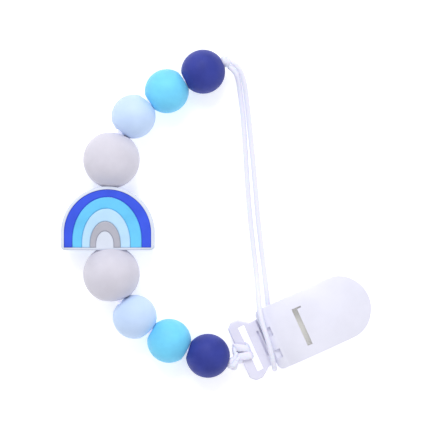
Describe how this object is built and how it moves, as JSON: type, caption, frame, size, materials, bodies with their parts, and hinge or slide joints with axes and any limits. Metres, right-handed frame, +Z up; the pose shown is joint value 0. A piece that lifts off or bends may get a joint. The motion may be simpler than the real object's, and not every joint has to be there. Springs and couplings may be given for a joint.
{
  "type": "beaded pacifier clip",
  "caption": "Silicone-bead pacifier holder with a rainbow bead, a white clothing clip that opens on a hinge, and a long loop of nylon cord for the pacifier.",
  "frame": {"origin": "middle of the object's bounding box, without its free loop, on the table that it lies on", "axes": "+Z up from the table, +Y from the clip end of the strand to the knot end, +X towards the clip from the rainbow bead"},
  "size_m": [0.106, 0.1132, 0.0186],
  "materials": {
    "silicone_navy": "matte",
    "silicone_sky": "matte",
    "silicone_pale_blue": "matte",
    "silicone_grey": "matte",
    "silicone_white": "matte",
    "silicone_royal": "matte",
    "silicone_band_sky": "matte",
    "silicone_band_pale": "matte",
    "silicone_band_grey": "matte",
    "nylon_cord": "satin braid",
    "clip_plastic": "satin",
    "jaw_plastic": "matte"
  },
  "bodies": {
    "root": {"clip_base": "clip_plastic", "clip_hitch": "nylon_cord", "stopper_knot_upper": "nylon_cord", "stopper_knot_lower": "nylon_cord", "bead_strand_over": "nylon_cord", "bead_strand_under": "nylon_cord", "pacifier_loop": "nylon_cord"},
    "cover": {"clip_cover": "clip_plastic"},
    "jaw": {"grip_jaw": "jaw_plastic"},
    "rainbow": {"rainbow_body": "silicone_white", "rainbow_royal_band": "silicone_royal", "rainbow_sky_band": "silicone_band_sky", "rainbow_pale_band": "silicone_band_pale", "rainbow_grey_band": "silicone_band_grey"},
    "grey_upper": {"grey_bead_upper": "silicone_grey"},
    "pale_blue_upper": {"pale_blue_bead_upper": "silicone_pale_blue"},
    "sky_blue_upper": {"sky_blue_bead_upper": "silicone_sky"},
    "navy_upper": {"navy_bead_upper": "silicone_navy"},
    "grey_lower": {"grey_bead_lower": "silicone_grey"},
    "pale_blue_lower": {"pale_blue_bead_lower": "silicone_pale_blue"},
    "sky_blue_lower": {"sky_blue_bead_lower": "silicone_sky"},
    "navy_lower": {"navy_bead_lower": "silicone_navy"}
  },
  "joints": [
    {"name": "cover_hinge", "type": "hinge", "parent": "root", "child": "cover", "pos_m": [0.02004, -0.0423, 0.0051], "axis": [0.4131, -0.9107, 0], "range_deg": [0, 30]},
    {"name": "jaw_pivot", "type": "hinge", "parent": "cover", "child": "jaw", "pos_m": [0.0337, -0.03611, 0.0072], "axis": [0.4131, -0.9107, 0], "range_deg": [-1, 2.5]},
    {"name": "rainbow_spin", "type": "hinge", "parent": "root", "child": "rainbow", "pos_m": [-0.0357, -0.0012, 0.00935], "axis": [0, 1, 0], "continuous": true},
    {"name": "grey_upper_spin", "type": "hinge", "parent": "root", "child": "grey_upper", "pos_m": [-0.0357, 0.01875, 0.00935], "axis": [0.1735, 0.9842, -0.0349], "continuous": true},
    {"name": "pale_blue_upper_spin", "type": "hinge", "parent": "root", "child": "pale_blue_upper", "pos_m": [-0.02819, 0.03361, 0.0082], "axis": [0.6799, 0.7291, -0.0785], "continuous": true},
    {"name": "sky_blue_upper_spin", "type": "hinge", "parent": "root", "child": "sky_blue_upper", "pos_m": [-0.01682, 0.04234, 0.00735], "axis": [0.8384, 0.5445, -0.0262], "continuous": true},
    {"name": "navy_upper_spin", "type": "hinge", "parent": "root", "child": "navy_upper", "pos_m": [-0.00436, 0.04902, 0.00735], "axis": [0.8988, 0.4384, 0], "continuous": true},
    {"name": "grey_lower_spin", "type": "hinge", "parent": "root", "child": "grey_lower", "pos_m": [-0.0357, -0.0203, 0.00935], "axis": [0.1907, -0.981, -0.0349], "continuous": true},
    {"name": "pale_blue_lower_spin", "type": "hinge", "parent": "root", "child": "pale_blue_lower", "pos_m": [-0.02781, -0.03496, 0.0082], "axis": [0.6925, -0.7171, -0.0785], "continuous": true},
    {"name": "sky_blue_lower_spin", "type": "hinge", "parent": "root", "child": "sky_blue_lower", "pos_m": [-0.01602, -0.04324, 0.00735], "axis": [0.8743, -0.4846, -0.0262], "continuous": true},
    {"name": "navy_lower_spin", "type": "hinge", "parent": "root", "child": "navy_lower", "pos_m": [-0.00272, -0.04838, 0.00735], "axis": [0.9511, -0.309, 0], "continuous": true}
  ]
}
